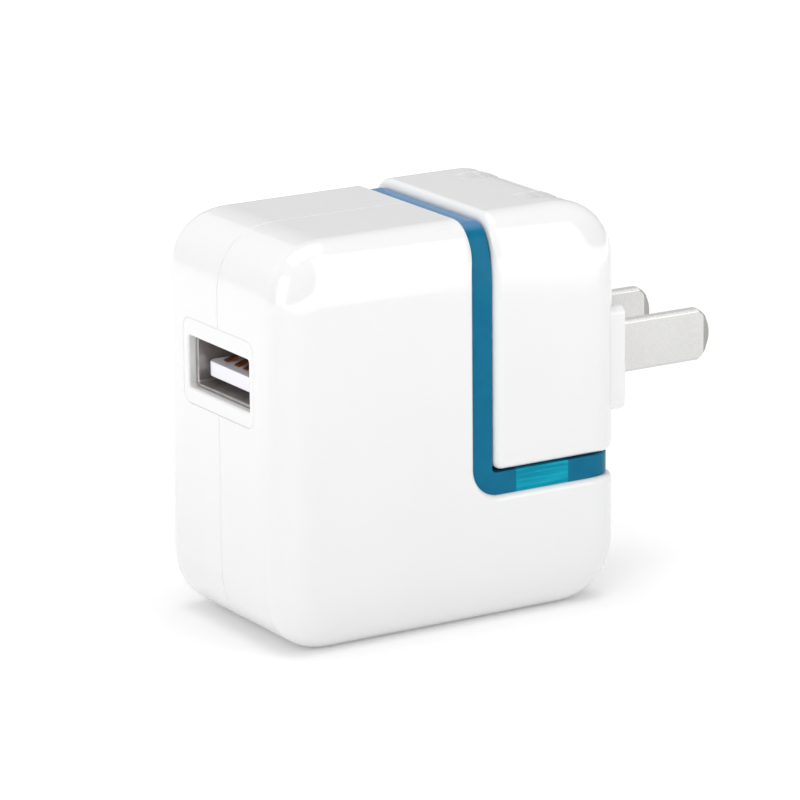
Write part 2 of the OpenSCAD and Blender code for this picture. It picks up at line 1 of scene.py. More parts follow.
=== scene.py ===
import json
from math import cos, pi, radians, sin, sqrt

import bmesh
import bpy
from mathutils import Matrix, Vector


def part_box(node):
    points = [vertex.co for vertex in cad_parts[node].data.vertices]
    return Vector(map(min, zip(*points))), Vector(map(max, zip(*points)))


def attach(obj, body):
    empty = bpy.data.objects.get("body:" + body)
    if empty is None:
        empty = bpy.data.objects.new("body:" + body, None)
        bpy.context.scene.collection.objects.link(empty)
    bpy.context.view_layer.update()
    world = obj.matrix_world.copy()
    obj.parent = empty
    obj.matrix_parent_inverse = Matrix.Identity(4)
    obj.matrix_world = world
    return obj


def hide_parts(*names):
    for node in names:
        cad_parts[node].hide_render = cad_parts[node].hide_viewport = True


MM = 0.001

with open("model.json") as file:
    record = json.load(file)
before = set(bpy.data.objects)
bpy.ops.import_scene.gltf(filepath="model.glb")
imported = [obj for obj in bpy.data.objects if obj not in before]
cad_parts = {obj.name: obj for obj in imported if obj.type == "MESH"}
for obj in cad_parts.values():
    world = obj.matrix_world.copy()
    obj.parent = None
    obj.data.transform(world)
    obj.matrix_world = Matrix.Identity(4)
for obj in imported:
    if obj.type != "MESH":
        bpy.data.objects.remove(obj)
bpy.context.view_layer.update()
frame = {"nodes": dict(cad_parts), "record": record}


def corners_of(*nodes):
    """The lowest and highest corners of some CAD nodes together, in mm."""
    boxes = [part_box(node) for node in nodes]
    low = [min(box[0][k] for box in boxes) / MM for k in range(3)]
    high = [max(box[1][k] for box in boxes) / MM for k in range(3)]
    return Vector(low), Vector(high)


# ---------- sizes, in mm, from the frame ----------

CASING_LOW, CASING_HIGH = corners_of("near_shell", "far_shell")
HEAD_LOW, HEAD_HIGH = corners_of("head_shell")
GUIDE_LOW, GUIDE_HIGH = corners_of("light_guide")
BLADES_HIGH = corners_of("blade_near", "blade_far")[1]
STUD_LOW, STUD_HIGH = corners_of("lock_stud")
INLET_LOW, INLET_HIGH = corners_of("inlet_socket")
COVER_HIGH = corners_of("head_cover")[1]
LINING_LOW, LINING_HIGH = corners_of("usb_shell")
TONGUE_LOW, TONGUE_HIGH = corners_of("usb_tongue")
ROTOR_LOW, ROTOR_HIGH = corners_of("blade_rotor")
PANEL_LOW, PANEL_HIGH = corners_of("port_panel")

FIT_GAP = 0.05          # round a piece that turns, or sits in its own hole
PART_GAP = 0.15         # between one loose piece and the next

FRONT = CASING_LOW.x
BACK = CASING_HIGH.x
SIDE = CASING_HIGH.y
TOP = CASING_HIGH.z
WALL = SIDE - COVER_HIGH.y - FIT_GAP
CORNER = 8.0            # reach of the corners seen from the side
CORNER_POWER = 2.3
EDGE = 7.4              # reach of the long edges up and down the side faces
ALONG = 0.6             # their reach along the side faces, as a share of that
EDGE_DEPTH = 4.0        # and across the thickness
EDGE_POWER = 2.35
LIP = 0.7               # round-over along the casing's cut edges
SEAM = 0.1              # round-over on either side of the casing's joint
SEAM_GAP = 0.015        # from the joint's plane to either half
INNER_CORNER = 0.2      # small corners of the casing's and the head's insides

CUT_X = GUIDE_LOW.x
GUIDE_THICK = 2.7
GUIDE_INSET = BACK - GUIDE_HIGH.x
GUIDE_BEND = 3.6
GUIDE_EDGE = 0.25
SEAT_GAP = 0.3          # between the guide's flat leg and the plug head
LEDGE = HEAD_LOW.z - GUIDE_THICK - SEAT_GAP
PEG_X = CUT_X + 2.5     # the guide's peg, which goes down through the ledge
PEG_RADIUS = 1.5

HEAD_X = HEAD_LOW.x
HEAD_Z = HEAD_LOW.z
HEAD_TOP = HEAD_HIGH.z
HEAD_LIP = 1.0
HEAD_BEND = 1.2
PAD_X = HEAD_HIGH.x
PAD_HALF = 13.0
PAD_LOW = HEAD_Z + 4.5
PAD_HIGH = HEAD_Z + 17.1
PAD_ROUND = 0.9
PAD_EDGE = 0.45

PIVOT_X = (ROTOR_LOW.x + ROTOR_HIGH.x) / 2
PIVOT_Z = (ROTOR_LOW.z + ROTOR_HIGH.z) / 2
ROTOR_RADIUS = (ROTOR_HIGH.z - ROTOR_LOW.z) / 2
ROTOR_HALF = 8.6
JOURNAL_RADIUS = 2.0
JOURNAL_END = 11.2
CHEEK_Y = 10.0          # middle of the cheek that holds a journal
BLADE_TIP = BLADES_HIGH.x
BLADE_TOP = BLADES_HIGH.z
BLADE_WIDTH = 6.35
BLADE_THICK = 1.5
BLADE_Y = BLADES_HIGH.y - BLADE_THICK / 2
BLADE_Z = BLADE_TOP - BLADE_WIDTH / 2
SLOT_GAP = 0.3
SLOT_HALF = BLADE_THICK / 2 + SLOT_GAP
POCKET_WALL = 1.0
SLOT_X = PIVOT_X - BLADE_WIDTH / 2 - (BLADE_Z - PIVOT_Z) - 0.25
SLOT_BOTTOM = BLADE_Z - BLADE_WIDTH / 2 - 0.2
SCOOP_RADIUS = 2.1
SCOOP_START = 10.4      # from the back face to where a scoop's floor meets the top
SCOOP_SLOPE = radians(32.5)

STUD_Z = (STUD_LOW.z + STUD_HIGH.z) / 2
STUD_SHANK = 1.5        # radius in the casing's wall
STUD_SHOULDER = 2.75    # radius in the guide
INLET_X = (INLET_LOW.x + INLET_HIGH.x) / 2
INLET_BARREL = (INLET_HIGH.x - INLET_LOW.x) / 2 - 0.7       # inside its wider flange
PIN_Y = 4.3

PORT_Z = (PANEL_LOW.z + PANEL_HIGH.z) / 2 - 0.15            # the opening is a little low in its panel
PORT_HALF_WIDTH = 7.05
PORT_HALF_HEIGHT = 3.1
PANEL_HALF_WIDTH = 8.15
PANEL_HALF_HEIGHT = 5.15
PANEL_Z = PORT_Z + 0.15
PANEL_CORNER = 1.5
SHEET = 0.3             # thickness of the receptacle's metal
SLEEVE_HALF_WIDTH = 6.25
SLEEVE_HALF_HEIGHT = 2.56
TONGUE_THICK = 1.84
TONGUE_Z = PORT_Z - 1.6
CONTACT_YS = (-3.5, -1, 1, 3.5)
CONTACT_HALF = 0.5

CAD_EDGE = 0.12         # softening of the edges of the CAD nodes that show


# ---------- meshes ----------

def turn(before, here, after, reach, power, steps):
    """The points round one right-angled corner of an outline, on a superellipse."""
    along = (here - before).normalized()
    away = (after - here).normalized()
    centre = here + (away - along) * reach
    points = []
    for step in range(steps + 1):
        angle = pi / 2 * step / steps
        points.append(centre + along * reach * sin(angle) ** (2 / power)
                      - away * reach * max(cos(angle), 0) ** (2 / power))
    return points


def outline(corners):
    """A closed outline through corners given as (u, v, reach, power, steps)."""
    places = [Vector(corner[:2]) for corner in corners]
    points = []
    for i, (u, v, reach, power, steps) in enumerate(corners):
        points += turn(places[i - 1], places[i], places[(i + 1) % len(places)], reach, power, steps)
    return points


def rectangle(half_width, half_height, radius, steps=4, middle=(0, 0)):
    """A rectangle with round corners about a point."""
    u, v = middle
    spots = [(-1, -1), (1, -1), (1, 1), (-1, 1)]
    return outline([(u + i * half_width, v + j * half_height, radius, 2, steps) for i, j in spots])


def at_y(points, y):
    return [Vector((p.x, y, p.y)) for p in points]


def at_x(points, x):
    return [Vector((x, p.x, p.y)) for p in points]


def at_z(points, z):
    return [Vector((p.x, p.y, z)) for p in points]


def blended(depth, reach_in, reach_deep, power, steps):
    """(depth, inset) pairs from the flat to the side face of a rounded edge."""
    pairs = []
    for step in range(steps + 1):
        angle = pi / 2 * step / steps
        deep = depth - reach_deep + reach_deep * sin(angle) ** (2 / power)
        inset = reach_in * (1 - max(cos(angle), 0) ** (2 / power))
        pairs.append((deep, inset))
    return pairs


def round_over(depth, edge, radius):
    """How far a small round-over of that radius has set in at a depth, near an edge."""
    past = min(max(depth - (edge - radius), 0), radius)
    return radius - sqrt(radius ** 2 - past ** 2)


def shaded(piece, sharp=38):
    """Smooth shading with sharp edges where faces meet at more than an angle."""
    piece.data.polygons.foreach_set("use_smooth", [True] * len(piece.data.polygons))
    piece.data.set_sharp_from_angle(angle=radians(sharp))
    weighted = piece.modifiers.new("even_shading", "WEIGHTED_NORMAL")
    weighted.keep_sharp = True
    return piece


def piece_of(name, mesh):
    piece = bpy.data.objects.new(name, mesh)
    bpy.context.scene.collection.objects.link(piece)
    return piece


def loft(name, rings, loop=False):
    """A solid through rings of equally many points; its ends are closed, or meet if it is a loop."""
    build = bmesh.new()
    rows = [[build.verts.new(point * MM) for point in ring] for ring in rings]
    pairs = list(zip(rows, rows[1:]))
    if loop:
        pairs.append((rows[-1], rows[0]))
    else:
        build.faces.new(rows[0])
        build.faces.new(rows[-1])
    for first, second in pairs:
        for i in range(len(first)):
            j = (i + 1) % len(first)
            build.faces.new((first[i], first[j], second[j], second[i]))
    bmesh.ops.remove_doubles(build, verts=build.verts, dist=1e-7)
    bmesh.ops.dissolve_degenerate(build, edges=build.edges, dist=1e-7)
    bmesh.ops.recalc_face_normals(build, faces=build.faces)
    mesh = bpy.data.meshes.new(name)
    build.to_mesh(mesh)
    build.free()
    return piece_of(name, mesh)


def block(low, high):
    """A plain box, used to cut with."""
    low, high = Vector(low), Vector(high)
    middle = (low + high) / 2
    ring = rectangle((high.x - low.x) / 2, (high.y - low.y) / 2, 0.001, 1, (middle.x, middle.y))
    return loft("tool", [at_z(ring, low.z), at_z(ring, high.z)])


def rod(start, end, radius, steps=32):
    """A round bar between two points."""
    start, end = Vector(start), Vector(end)
    turn_to = (end - start).to_track_quat("Z", "Y")
    rings = []
    for middle in (start, end):
        rings.append([middle + turn_to @ Vector((radius * cos(2 * pi * i / steps),
                                                 radius * sin(2 * pi * i / steps), 0))
                      for i in range(steps)])
    return loft("tool", rings)


def combine(piece, tool, operation="DIFFERENCE"):
    """Cuts piece with tool, or joins the two, and removes the tool."""
    change = piece.modifiers.new("combine", "BOOLEAN")
    change.operation = operation
    change.object = tool
    change.solver = "EXACT"
    graph = bpy.context.evaluated_depsgraph_get()
    mesh = bpy.data.meshes.new_from_object(piece.evaluated_get(graph))
    piece.modifiers.clear()
    piece.data = mesh
    bpy.data.objects.remove(tool)


# ---------- the forms that the casing, guide and head share ----------

def stadium(radius):
    """The outline round both pins of the inlet."""
    return rectangle(radius, PIN_Y + radius, radius, 10, (INLET_X, 0))


def casing_outline(inset, lip, grow=0):
    """The casing seen from the side, set in all round, with its cut-out's edges set in by lip."""
    reach = max(CORNER - inset - grow, 1)
    outer = inset + grow
    ends = inset * ALONG + grow
    small = INNER_CORNER if grow else LIP
    return outline([
        (FRONT + ends, outer, reach, CORNER_POWER, 14),
        (BACK - ends, outer, reach, CORNER_POWER, 14),
        (BACK - ends, LEDGE - grow - lip, small, 2, 5),
        (CUT_X - grow - lip, LEDGE - grow - lip, GUIDE_BEND + grow + lip, 2, 12),
        (CUT_X - grow - lip, TOP - outer, small, 2, 5),
        (FRONT + ends, TOP - outer, reach, CORNER_POWER, 14),
    ])


def casing_half(name, side):
    """One moulding of the casing: its inside from the far end, then its rim, then its outside."""
    inside_depth = SIDE - WALL
    rings = []
    inner = blended(inside_depth, EDGE - WALL, EDGE_DEPTH - WALL, EDGE_POWER, 8)
    for depth, inset in reversed([(SEAM_GAP, 0)] + inner):
        rings.append(at_y(casing_outline(inset, 0, WALL), side * depth))
    for step in range(4):
        angle = pi / 2 * step / 3
        seam = SEAM * (1 - sin(angle))
        rings.append(at_y(casing_outline(seam, seam), side * (SEAM_GAP + SEAM * (1 - cos(angle)))))
    for depth, inset in blended(SIDE, EDGE, EDGE_DEPTH, EDGE_POWER, 22):
        rings.append(at_y(casing_outline(inset, round_over(depth, SIDE, LIP)), side * depth))
    half = loft(name, rings)
    gap = 0.01              # round the panel
    panel = rectangle(PANEL_HALF_WIDTH + gap, PANEL_HALF_HEIGHT + gap, PANEL_CORNER, 6, (0, PANEL_Z))
    combine(half, loft("tool", [at_x(panel, FRONT - 1), at_x(panel, FRONT + WALL + 1)]))
    past = 0.25             # how far the tools reach past the wall
    inlet = stadium(INLET_BARREL + FIT_GAP)
    combine(half, loft("tool", [at_z(inlet, LEDGE - WALL - past), at_z(inlet, LEDGE + past)]))
    combine(half, rod((CUT_X - WALL - past, 0, STUD_Z), (CUT_X + past, 0, STUD_Z), STUD_SHANK + FIT_GAP))
    return shaded(half)


def head_outline(inset, lip, grow=0, open_by=0):
    """The plug head seen from the side; open_by moves its two inner faces out, to hollow it from there."""
    reach = max(CORNER - inset - grow, 1)
    outer = inset + grow
    ends = inset * ALONG + grow
    near = HEAD_X + lip - open_by
    low = HEAD_Z + lip - open_by
    small = INNER_CORNER if grow else HEAD_LIP
    return outline([
        (near, low, HEAD_BEND, 2, 6),
        (BACK - ends, low, small, 2, 5),
        (BACK - ends, HEAD_TOP - outer, reach, CORNER_POWER, 14),
        (near, HEAD_TOP - outer, small, 2, 5),
    ])


def both_sides(pairs):
    """The same (depth, inset) pairs from one side face to the other, as (y, depth, inset)."""
    near = [(-depth, depth, inset) for depth, inset in reversed(pairs)]
    return near + [(depth, depth, inset) for depth, inset in pairs]


def leave_solid(hollow, side):
    """Keeps the hollow clear of a blade's pocket, of the backing of its scoop and of its journal's cheek."""
    y = side * BLADE_Y
    half = SLOT_HALF + POCKET_WALL
    combine(hollow, block((SLOT_X - POCKET_WALL, y - half, PIVOT_Z + ROTOR_RADIUS), (BACK, y + half, TOP)))
    half = SCOOP_RADIUS + POCKET_WALL
    start = BACK - SCOOP_START - 0.4
    combine(hollow, block((start, y - half, TOP - 7), (BACK + 0.1, y + half, TOP + 0.1)))
    y = side * CHEEK_Y
    cheek = JOURNAL_RADIUS + 1.4
    combine(hollow, block((PIVOT_X - 1, y - 1, PIVOT_Z - cheek), (BACK + 0.2, y + 1, PIVOT_Z + cheek)))


def cut_slot(head, y):
    """One blade's slot, flared where it opens in the pad and in the back face."""
    flare = 0.22
    combine(head, block((SLOT_X, y - SLOT_HALF, SLOT_BOTTOM), (PAD_X + 1, y + SLOT_HALF, HEAD_TOP + 1)))
    wide = SLOT_HALF + 2 * flare
    mouths = ((PAD_X, SLOT_BOTTOM, PAD_HIGH - 0.4), (BACK, PAD_HIGH + 0.05, HEAD_TOP - CORNER))
    for face, bottom, top in mouths:
        wedge = [(-flare, SLOT_HALF), (flare, wide), (flare, -wide), (-flare, -SLOT_HALF)]
        ring = [Vector((face + u, y + v)) for u, v in wedge]
        combine(head, loft("tool", [at_z(ring, bottom), at_z(ring, top)]))


def head_moulding():
    """The plug head's shell: a block with the pad, hollowed from its two inner faces, and slotted."""
    rings = []
    for y, depth, inset in both_sides(blended(SIDE, EDGE, EDGE_DEPTH, EDGE_POWER, 22)):
        rings.append(at_y(head_outline(inset, round_over(depth, SIDE, HEAD_LIP)), y))
    head = loft("head_moulding", rings)

    pad_middle = (0, (PAD_LOW + PAD_HIGH) / 2)
    pad_half = (PAD_HIGH - PAD_LOW) / 2
    pad_rings = [at_x(rectangle(PAD_HALF, pad_half, PAD_ROUND, 5, pad_middle), BACK - 5)]
    for step in range(6):
        angle = pi / 2 * step / 5
        inset = PAD_EDGE * (1 - cos(angle))
        ring = rectangle(PAD_HALF - inset, pad_half - inset, PAD_ROUND - inset / 2, 5, pad_middle)
        pad_rings.append(at_x(ring, PAD_X - PAD_EDGE * (1 - sin(angle))))
    combine(head, loft("tool", pad_rings), "UNION")

    hollow_rings = []
    for y, depth, inset in both_sides(blended(SIDE - WALL, EDGE - WALL, EDGE_DEPTH - WALL, EDGE_POWER, 8)):
        hollow_rings.append(at_y(head_outline(inset, 0, WALL, 2), y))
    hollow = loft("tool", hollow_rings)
    for side in (-1, 1):
        leave_solid(hollow, side)
    combine(head, hollow)
    for side in (-1, 1):
        cut_slot(head, side * BLADE_Y)
    for side in (-1, 1):
        start = Vector((BACK - SCOOP_START, side * BLADE_Y, HEAD_TOP))
        middle = start + SCOOP_RADIUS * Vector((sin(SCOOP_SLOPE), 0, cos(SCOOP_SLOPE)))
        along = Vector((cos(SCOOP_SLOPE), 0, -sin(SCOOP_SLOPE)))
        combine(head, rod(middle - 8 * along, middle + 22 * along, SCOOP_RADIUS, 64))
    end = ROTOR_HALF + PART_GAP
    combine(head, rod((PIVOT_X, -end, PIVOT_Z), (PIVOT_X, end, PIVOT_Z), ROTOR_RADIUS + PART_GAP, 48))
    end = JOURNAL_END + PART_GAP
    bore = JOURNAL_RADIUS + FIT_GAP
    combine(head, rod((PIVOT_X, -end, PIVOT_Z), (PIVOT_X, end, PIVOT_Z), bore, 32))
    combine(head, block((PIVOT_X - 8, -end, PIVOT_Z - bore), (PIVOT_X, end, PIVOT_Z + bore)))
    return shaded(head)


def guide_strip():
    """The clear L-shaped strip, a little below the casing's surface."""
    def side_view(inset):
        outer = GUIDE_INSET + inset
        ends = GUIDE_INSET + inset * ALONG
        return outline([
            (CUT_X, LEDGE, GUIDE_BEND, 2, 12),
            (BACK - ends, LEDGE, GUIDE_EDGE, 2, 4),
            (BACK - ends, LEDGE + GUIDE_THICK, GUIDE_EDGE, 2, 4),
            (CUT_X + GUIDE_THICK, LEDGE + GUIDE_THICK, 0.6, 2, 5),
            (CUT_X + GUIDE_THICK, TOP - outer, GUIDE_EDGE, 2, 4),
            (CUT_X, TOP - outer, GUIDE_EDGE, 2, 4),
        ])
    pairs = blended(SIDE - GUIDE_INSET, EDGE - GUIDE_INSET, EDGE_DEPTH - GUIDE_INSET, EDGE_POWER, 18)
    strip = loft("guide_strip", [at_y(side_view(inset), y) for y, depth, inset in both_sides(pairs)])
    inlet = stadium(INLET_BARREL + PART_GAP)
    combine(strip, loft("tool", [at_z(inlet, LEDGE - 1), at_z(inlet, LEDGE + GUIDE_THICK + 1)]))
    shoulder = STUD_SHOULDER + PART_GAP
    combine(strip, rod((CUT_X - 1, 0, STUD_Z), (CUT_X + GUIDE_THICK + 1, 0, STUD_Z), shoulder))
    combine(strip, rod((PEG_X, 0, GUIDE_LOW.z), (PEG_X, 0, LEDGE + 0.5), PEG_RADIUS), "UNION")
    return shaded(strip)


# ---------- the port ----------

def panel_plate():
    """The port's surround: a plate flush with the casing, a flange behind it and the opening through both."""
    def ring(half_width, half_height, radius, x):
        return at_x(rectangle(half_width, half_height, radius, 6, (0, PANEL_Z)), x)
    rim = 0.06              # round-over of the plate's outer edge
    corner = PANEL_CORNER - FIT_GAP
    wide, high = PANEL_HALF_WIDTH + 1, PANEL_HALF_HEIGHT + 1
    rings = [
        ring(PANEL_HALF_WIDTH - rim, PANEL_HALF_HEIGHT - rim, corner - FIT_GAP, FRONT),
        ring(PANEL_HALF_WIDTH, PANEL_HALF_HEIGHT, corner, FRONT + rim),
        ring(PANEL_HALF_WIDTH, PANEL_HALF_HEIGHT, corner, FRONT + WALL),
        ring(wide, high, PANEL_CORNER, FRONT + WALL),
        ring(wide, high, PANEL_CORNER, PANEL_HIGH.x),
    ]
    plate = loft("panel_plate", rings)
    opening = []
    mouth = 0.3             # round-over of the opening's edge
    rounded = [(FRONT + mouth * (1 - cos(pi / 8 * i)), mouth * (1 - sin(pi / 8 * i))) for i in range(5)]
    for x, grow in [(FRONT - 0.5, mouth)] + rounded + [(PANEL_HIGH.x + 1, 0)]:
        half = (PORT_HALF_WIDTH + grow, PORT_HALF_HEIGHT + grow)
        opening.append(at_x(rectangle(*half, 0.35 + grow, 4, (0, PORT_Z)), x))
    combine(plate, loft("tool", opening))
    return shaded(plate, 30)


def port_lining():
    """The receptacle's drawn metal: a wider mouth, then the long sleeve, one sheet thick."""
    mouth = LINING_LOW.x
    profile = [
        (mouth, 6.62, 2.7), (mouth + 0.12, 6.5, 2.66), (mouth + 2.2, 6.27, 2.58),
        (LINING_HIGH.x, SLEEVE_HALF_WIDTH, SLEEVE_HALF_HEIGHT),
    ]
    inner, outer = [], []
    for x, wide, high in profile:
        inner.append(at_x(rectangle(wide, high, 0.35, 4, (0, PORT_Z)), x))
        outer.insert(0, at_x(rectangle(wide + SHEET, high + SHEET, 0.6, 4, (0, PORT_Z)), x))
    lining = loft("port_lining", inner + outer, loop=True)
    for side in (-1, 1):
        y = side * (SLEEVE_HALF_WIDTH + SHEET / 2)
        tab = block((mouth + 6.4, y - SHEET / 2, PORT_Z + 1), (mouth + 8, y + SHEET / 2, LINING_HIGH.z))
        combine(lining, tab, "UNION")
    for side in (-1, 1):
        window = rectangle(1.6, 0.55, 0.3, 4, (mouth + 5.5, side * 3.1))
        combine(lining, loft("tool", [at_z(window, PORT_Z - 4), at_z(window, PORT_Z - 2)]))
    return shaded(lining, 30)


def tongue():
    """The plate that carries the contacts, with round corners at its free end, and its base."""
    low, high = TONGUE_Z, TONGUE_Z + TONGUE_THICK
    half = 5.55
    nose = TONGUE_LOW.x
    end = TONGUE_HIGH.x - 2
    soft = 0.16
    edge = [(0, soft), (soft * 0.3, soft * 0.3), (soft, 0)]
    levels = [(low + rise, inset) for rise, inset in edge]
    levels += [(high - rise, inset) for rise, inset in reversed(edge)]
    rings = []
    for z, inset in levels:
        rings.append(at_z(outline([
            (nose + inset, -half + inset, 1, 2, 8), (end, -half + inset, 0.1, 2, 1),
            (end, half - inset, 0.1, 2, 1), (nose + inset, half - inset, 1, 2, 8),
        ]), z))
    plate = loft("tongue_plate", rings)
    wide, tall = SLEEVE_HALF_WIDTH - PART_GAP, SLEEVE_HALF_HEIGHT - PART_GAP
    base = block((end - 1.4, -wide, PORT_Z - tall), (TONGUE_HIGH.x, wide, PORT_Z + tall))
    combine(plate, base, "UNION")
    groove = CONTACT_HALF + FIT_GAP
    for y in CONTACT_YS:
        start, stop = (nose + 1.2, y - groove, high - 0.12), (TONGUE_HIGH.x + 1, y + groove, high + 0.6)
        combine(plate, block(start, stop))
    return shaded(plate, 30)


def port_contacts():
    """Four sprung strips along the top of the tongue, each with a hump near its free end."""
    top = TONGUE_Z + TONGUE_THICK
    nose = TONGUE_LOW.x
    board = TONGUE_HIGH.x + 0.1
    line = [
        (nose + 1.35, top - 0.05), (nose + 1.9, top + 0.1), (nose + 2.7, top + 0.42),
        (nose + 3.6, top + 0.55), (nose + 4.5, top + 0.42), (nose + 5.6, top + 0.1),
        (nose + 6.6, top - 0.02), (board, top - 0.02), (board + 0.25, top + 0.2), (board + 0.25, top + 4.5),
    ]
    half = CONTACT_HALF
    thick = 0.22
    pieces = []
    for y in CONTACT_YS:
        rings = []
        for i, (x, z) in enumerate(line):
            ahead = Vector(line[min(i + 1, len(line) - 1)]) - Vector(line[max(i - 1, 0)])
            across = Vector((-ahead.y, ahead.x)).normalized() * thick
            ring = []
            for side, up in ((-half, 0), (half, 0), (half, 0.8), (0.38, 1), (-0.38, 1), (-half, 0.8)):
                ring.append(Vector((x + across.x * up, y + side, z + across.y * up)))
            rings.append(ring)
        pieces.append(loft("port_contacts", rings))
    for extra in pieces[1:]:
        combine(pieces[0], extra, "UNION")
    return shaded(pieces[0], 50)


# ---------- the blades ----------

def blade_outline(inset, tip_x):
    """A blade from the side: round root, straight bar, and a round tip cut square at tip_x."""
    half = BLADE_WIDTH / 2 - inset
    tip_radius = BLADE_WIDTH / 2 + 0.525 - inset
    middle = BLADE_TIP - inset - tip_radius
    root = ROTOR_RADIUS - 0.1
    points = []
    leave = sqrt(root ** 2 - (PIVOT_Z - (BLADE_Z - half)) ** 2)
    points.append(Vector((PIVOT_X + leave, BLADE_Z - half)))
    steps = 16
    for step in range(steps + 1):
        z = half * (2 * step / steps - 1)
        points.append(Vector((min(middle + sqrt(tip_radius ** 2 - z ** 2), tip_x), BLADE_Z + z)))
    points.append(Vector((PIVOT_X, BLADE_Z + half)))
    first = pi / 2
    last = 2 * pi - radians(25)
    for step in range(12):
        angle = first + (last - first) * step / 11
        points.append(Vector((PIVOT_X + root * cos(angle), PIVOT_Z + root * sin(angle))))
    return points


def blade(name, side):
    chamfer = 0.28
    y = side * BLADE_Y
    half = BLADE_THICK / 2
    face_tip = BLADE_TIP - 1.15
    levels = [(-half, chamfer, face_tip), (-half + chamfer * 0.5, chamfer * 0.25, face_tip + 0.35),
              (-half + chamfer, 0, face_tip + 0.65), (-0.32, 0, BLADE_TIP)]
    levels += [(-depth, inset, tip_x) for depth, inset, tip_x in reversed(levels)]
    rings = [at_y(blade_outline(inset, tip_x), y + depth) for depth, inset, tip_x in levels]
    return shaded(loft(name, rings), 25)


# ---------- finishes ----------

class Value:
    """One value in a finish. Arithmetic on numbers adds Math nodes."""

    def __init__(self, finish, socket):
        self.finish = finish
        self.socket = socket

    def __add__(self, other):
        return self.finish.maths("ADD", self, other)

    def __sub__(self, other):
        return self.finish.maths("SUBTRACT", self, other)

    def __rsub__(self, other):
        return self.finish.maths("SUBTRACT", other, self)

    def __mul__(self, other):
        return self.finish.maths("MULTIPLY", self, other)

    __radd__ = __add__
    __rmul__ = __mul__


class Finish:
    """A material: constants on its shader, and nodes for what changes over the surface."""

    def __init__(self, name, **constants):
        self.material = bpy.data.materials.new(name)
        self.material.use_nodes = True
        self.tree = self.material.node_tree
        self.shader = self.tree.nodes["Principled BSDF"]
        for socket, value in constants.items():
            self.shader.inputs[socket.replace("_", " ")].default_value = value

    def node(self, kind, settings, inputs, output=0):
        """Adds a node of that kind: its settings first, then its inputs, by name or number."""
        node = self.tree.nodes.new("ShaderNode" + kind)
        for field, value in settings.items():
            setattr(node, field, value)
        for key, value in inputs.items():
            if isinstance(value, Value):
                self.tree.links.new(value.socket, node.inputs[key])
            else:
                node.inputs[key].default_value = value
        return Value(self, node.outputs[output])

    def maths(self, operation, first, second):
        return self.node("Math", {"operation": operation}, {0: first, 1: second})

    def feed(self, **values):
        """Links values to the shader's sockets."""
        for socket, value in values.items():
            self.tree.links.new(value.socket, self.shader.inputs[socket.replace("_", " ")])
        return self

    def point(self, scale=(1, 1, 1)):
        """The place on the piece, in mm, times a scale along each axis."""
        place = self.node("TexCoord", {}, {}, "Object")
        return self.node("VectorMath", {"operation": "MULTIPLY"}, {0: place, 1: [s / MM for s in scale]})

    def noise(self, size, detail=2, stretch=(1, 1, 1)):
        """Soft noise from 0 to 1 with features of that size in mm, longer along an axis by its stretch."""
        place = self.point([1 / (size * s) for s in stretch])
        return self.node("TexNoise", {}, {"Vector": place, "Scale": 1, "Detail": detail})

    def along(self, axis):
        """The place along an axis, in mm."""
        return self.node("SeparateXYZ", {}, {0: self.point()}, "XYZ".index(axis))

    def between(self, value, low, high):
        """0 below low, 1 above high, and smooth between."""
        settings = {"interpolation_type": "SMOOTHSTEP"}
        return self.node("MapRange", settings, {"Value": value, "From Min": low, "From Max": high})

    def colour(self, factor, low, high):
        """A colour from low to high."""
        low = low if isinstance(low, Value) else (*low, 1)
        high = high if isinstance(high, Value) else (*high, 1)
        return self.node("Mix", {"data_type": "RGBA"}, {0: factor, 6: low, 7: high}, 2)

    def relief(self, height, depth):
        """A surface raised by height, which is from 0 to 1, times a depth in mm."""
        return self.node("Bump", {}, {"Strength": 1, "Distance": depth * MM, "Height": height})


def white_gloss():
    """High-gloss white moulding, with a trace of flow in its colour and a very fine ripple."""
    f = Finish("white_gloss", IOR=1.5, Coat_Weight=0.6, Coat_Roughness=0.02, Subsurface_Weight=0.25,
               Subsurface_Radius=(1, 1, 1), Subsurface_Scale=0.6 * MM)
    flow = f.noise(9, 3, (1, 1, 2))
    ripple = f.noise(2.2, 1)
    haze = f.noise(0.5, 3)
    return f.feed(Base_Color=f.colour(flow, (0.79, 0.792, 0.79), (0.815, 0.817, 0.815)),
                  Roughness=haze * 0.03 + 0.04,
                  Normal=f.relief(ripple, 0.0012))


def blue_clear():
    """Clear blue guide: deep where it is thick, with painted light on its flat leg in front of the pale
    inlet, and paler along its top.
    """
    f = Finish("blue_clear", IOR=1.49, Specular_IOR_Level=0.06, Coat_Weight=0.06, Coat_Roughness=0.03)
    x, z = f.along("X"), f.along("Z")
    cloud = f.noise(2.5, 3)
    streaks_and_painted_glints = f.noise(0.5, 2, (14, 1, 1))
    # painted light: the flat leg in front of the pale inlet is painted bright, as the light that the inlet
    # sends back through the clear strip
    lit = f.between(x, INLET_X - 3.35, INLET_X - 3.2) * (1 - f.between(x, INLET_X + 3.9, INLET_X + 4.05))
    flat = 1 - f.between(z, LEDGE + GUIDE_THICK, LEDGE + GUIDE_THICK + 0.1)
    deep = f.colour(cloud, (0.002, 0.12, 0.225), (0.006, 0.165, 0.295))
    # the painted light, with painted glints along the streaks
    glow = f.colour(f.between(streaks_and_painted_glints, 0.35, 0.65), (0.001, 0.23, 0.35), (0.003, 0.36, 0.48))
    front = f.colour(lit * flat, deep, glow)
    # paler towards the top end
    top = f.between(z, TOP - 1.5, TOP - 0.8)
    return f.feed(Base_Color=f.colour(top, front, (0.085, 0.215, 0.40)),
                  Roughness=cloud * 0.06 + 0.06,
                  Normal=f.relief(streaks_and_painted_glints, 0.004))


